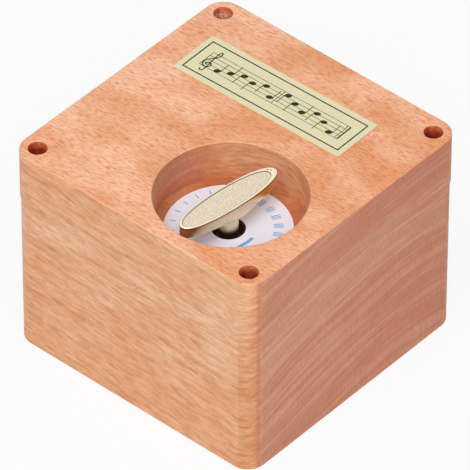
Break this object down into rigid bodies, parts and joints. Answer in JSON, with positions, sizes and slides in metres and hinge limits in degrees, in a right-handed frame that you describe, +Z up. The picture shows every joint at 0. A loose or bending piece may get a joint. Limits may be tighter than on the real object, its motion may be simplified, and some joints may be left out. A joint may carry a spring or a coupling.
{
  "type": "wooden music box",
  "caption": "Square wooden music box with a screwed cover, an oval winding key in a round recess, paper labels, and a spring-driven comb and pin cylinder movement with an air brake inside.",
  "frame": {"origin": "middle of the footprint, on the face that the box lies on", "axes": "+Z up to the cover and the key, +X along the label, +Y from the key recess to the label"},
  "size_m": [0.065, 0.065, 0.0512],
  "materials": {
    "beech": "oiled, with short dark flecks",
    "gilt_metal": "matte face, polished edge",
    "white_paper": "printed paper",
    "pale_paper": "satin label paper",
    "cast_zinc": "as cast",
    "yellow_brass": "bright",
    "bright_steel": "ground",
    "spring_steel": "blued",
    "screw_steel": "darkened",
    "white_nylon": "moulded"
  },
  "bodies": {
    "casing": {"box_body": "beech", "cover_plate": "beech", "cover_screw_1": "screw_steel", "cover_screw_2": "screw_steel", "cover_screw_3": "screw_steel", "cover_screw_4": "screw_steel", "recess_label": "white_paper", "title_label": "pale_paper", "bedplate": "cast_zinc", "movement_screw_1": "screw_steel", "movement_screw_2": "screw_steel", "movement_screw_3": "screw_steel", "spring_housing": "yellow_brass", "housing_lid": "bright_steel", "mainspring": "spring_steel", "comb": "bright_steel", "comb_screw_1": "bright_steel", "comb_screw_2": "bright_steel", "governor_frame": "bright_steel", "governor_screw_1": "bright_steel", "governor_screw_2": "bright_steel"},
    "drive": {"drive_gear": "yellow_brass", "clutch_spring": "spring_steel"},
    "key": {"winding_key": "gilt_metal", "winding_arbor": "bright_steel", "retaining_clip": "spring_steel"},
    "pin_cylinder": {"cylinder": "yellow_brass", "cylinder_shaft": "bright_steel", "cylinder_pinion": "yellow_brass", "cylinder_end_cap": "white_nylon", "cylinder_gear": "white_nylon"},
    "governor": {"governor_wheel": "white_nylon", "governor_arbor": "bright_steel"},
    "air_brake": {"worm_shaft": "bright_steel", "fan": "white_nylon"}
  },
  "joints": [
    {"name": "playing_turn", "type": "hinge", "parent": "casing", "child": "drive", "pos_m": [0.0098, -0.0134, 0.0383], "axis": [0, 0, 1], "continuous": true},
    {"name": "winding_turn", "type": "hinge", "parent": "drive", "child": "key", "pos_m": [0.0098, -0.0134, 0.0383], "axis": [0, 0, 1], "range_deg": [-1800, 0]},
    {"name": "cylinder_turn", "type": "hinge", "parent": "casing", "child": "pin_cylinder", "pos_m": [0.0098, 0, 0.0278], "axis": [0, 1, 0], "continuous": true},
    {"name": "governor_turn", "type": "hinge", "parent": "casing", "child": "governor", "pos_m": [0.0188, 0, 0.0278], "axis": [0, 1, 0], "continuous": true},
    {"name": "fan_turn", "type": "hinge", "parent": "casing", "child": "air_brake", "pos_m": [0.0137, 0.0222, 0.0278], "axis": [0, 0, 1], "continuous": true}
  ],
  "couplings": [
    {"joint": "cylinder_turn", "follows": "playing_turn", "ratio": -2},
    {"joint": "governor_turn", "follows": "playing_turn", "ratio": 8},
    {"joint": "fan_turn", "follows": "playing_turn", "ratio": -160}
  ]
}
